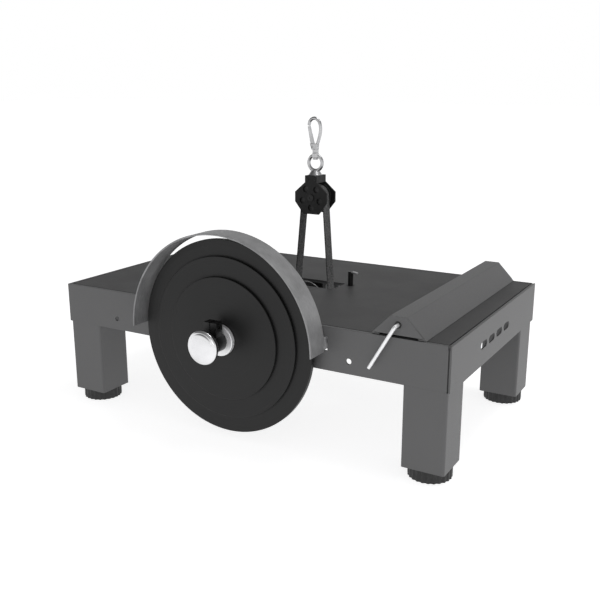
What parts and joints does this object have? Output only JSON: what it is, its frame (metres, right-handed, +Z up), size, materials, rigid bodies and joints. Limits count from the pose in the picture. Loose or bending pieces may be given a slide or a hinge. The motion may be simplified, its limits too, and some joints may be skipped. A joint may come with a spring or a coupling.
{
  "type": "flywheel training platform",
  "caption": "Low steel training platform on legs with a side-mounted flywheel under a half-round guard, a strap with pulley block and snap hook, and a raised foot bar.",
  "frame": {"origin": "on the floor, in the middle of the whole part's outline", "axes": "+X along the deck towards the foot bar, +Y away from the flywheel, +Z up"},
  "size_m": [0.8, 0.5656, 0.5609],
  "materials": {
    "grey_paint": "fine satin powder coat",
    "deck_rubber": "matt, lightly grained",
    "black_plastic": "moulded, matt",
    "black_steel": "black satin coat",
    "disc_black": "black satin coat",
    "black_oxide": "blackened steel",
    "bright_steel": "turned or zinc plated",
    "guard_steel": "brushed satin",
    "chrome": "polished",
    "webbing": "woven, flat"
  },
  "bodies": {
    "frame": {"platform_shell": "grey_paint", "deck_mat": "deck_rubber", "leg_front_left": "grey_paint", "foot_plate_front_left": "bright_steel", "leg_front_right": "grey_paint", "foot_plate_front_right": "bright_steel", "leg_rear_left": "grey_paint", "foot_plate_rear_left": "bright_steel", "leg_rear_right": "grey_paint", "foot_plate_rear_right": "bright_steel", "bearing_housing_front": "black_steel", "bearing_front": "bright_steel", "bearing_housing_rear": "black_steel", "bearing_rear": "bright_steel", "flywheel_guard": "guard_steel", "guard_bracket_left": "bright_steel", "guard_bolt_left": "bright_steel", "guard_bracket_right": "bright_steel", "guard_bolt_right": "bright_steel", "strap": "webbing", "anchor_ear_front": "bright_steel", "anchor_ear_rear": "bright_steel", "anchor_pin": "bright_steel", "spindle_bush": "black_plastic", "bar_shell": "grey_paint", "bar_end_front": "grey_paint", "bar_end_rear": "grey_paint", "bar_bush": "black_plastic", "latch_keeper": "bright_steel"},
    "flywheel": {"drive_shaft": "bright_steel", "flywheel_backing_flange": "bright_steel", "flywheel_disc_large": "disc_black", "flywheel_disc_medium": "disc_black", "flywheel_disc_small": "disc_black", "hub_ring": "chrome", "clamp_collar": "black_oxide", "clamp_screw": "black_oxide", "hub_cap": "chrome", "spool_flange_front": "bright_steel", "spool_flange_rear": "bright_steel", "strap_coil": "webbing"},
    "pulley_block": {"block_cheek_front": "black_steel", "block_cheek_rear": "black_steel", "block_spacer": "black_steel", "block_rivet_left": "bright_steel", "block_rivet_right": "bright_steel", "sheave_axle": "black_oxide", "swivel_eye": "chrome"},
    "sheave": {"sheave": "black_plastic"},
    "hook": {"hook_body": "chrome", "gate_pin": "bright_steel"},
    "gate": {"hook_gate": "chrome"},
    "strap_release": {"release_spindle": "black_oxide", "anchor_retainer": "bright_steel"},
    "bar_latch": {"latch_lever": "chrome", "latch_dog": "bright_steel"},
    "foot_front_left": {"levelling_foot_front_left": "black_plastic"},
    "foot_front_right": {"levelling_foot_front_right": "black_plastic"},
    "foot_rear_left": {"levelling_foot_rear_left": "black_plastic"},
    "foot_rear_right": {"levelling_foot_rear_right": "black_plastic"}
  },
  "joints": [
    {"name": "flywheel_spin", "type": "hinge", "parent": "frame", "child": "flywheel", "pos_m": [-0.006, 0, 0.193], "axis": [0, 1, 0], "range_deg": [-690, 4640]},
    {"name": "block_lift", "type": "slide", "parent": "frame", "child": "pulley_block", "axis": [0, 0, 1], "range_m": [-0.09, 0.6], "deforming": ["strap"]},
    {"name": "sheave_spin", "type": "hinge", "parent": "pulley_block", "child": "sheave", "pos_m": [0.0215, 0.06275, 0.409], "axis": [0, 1, 0], "range_deg": [-230, 1530]},
    {"name": "hook_swivel", "type": "hinge", "parent": "pulley_block", "child": "hook", "pos_m": [0.0215, 0.06275, 0.496], "axis": [0, 0, 1], "continuous": true},
    {"name": "gate_open", "type": "hinge", "parent": "hook", "child": "gate", "pos_m": [0.0165, 0.06275, 0.5041], "axis": [0, 1, 0], "range_deg": [0, 24], "stiffness_Nm_per_rad": 0.1, "springref_deg": -34.38},
    {"name": "release_turn", "type": "hinge", "parent": "frame", "child": "strap_release", "pos_m": [0.0905, 0.08275, 0.2], "axis": [0, 0, 1], "range_deg": [-90, 0]},
    {"name": "latch_turn", "type": "hinge", "parent": "frame", "child": "bar_latch", "pos_m": [0.31, 0, 0.258], "axis": [0, 1, 0], "range_deg": [0, 60]},
    {"name": "foot_level_front_left", "type": "slide", "parent": "frame", "child": "foot_front_left", "axis": [0, 0, 1], "range_m": [-0.012, 0]},
    {"name": "foot_level_front_right", "type": "slide", "parent": "frame", "child": "foot_front_right", "axis": [0, 0, 1], "range_m": [-0.012, 0]},
    {"name": "foot_level_rear_left", "type": "slide", "parent": "frame", "child": "foot_rear_left", "axis": [0, 0, 1], "range_m": [-0.012, 0]},
    {"name": "foot_level_rear_right", "type": "slide", "parent": "frame", "child": "foot_rear_right", "axis": [0, 0, 1], "range_m": [-0.012, 0]}
  ],
  "couplings": [
    {"joint": "block_lift", "follows": "flywheel_spin", "m_per_rad": 0.0074},
    {"joint": "sheave_spin", "follows": "flywheel_spin", "ratio": 0.32889}
  ]
}
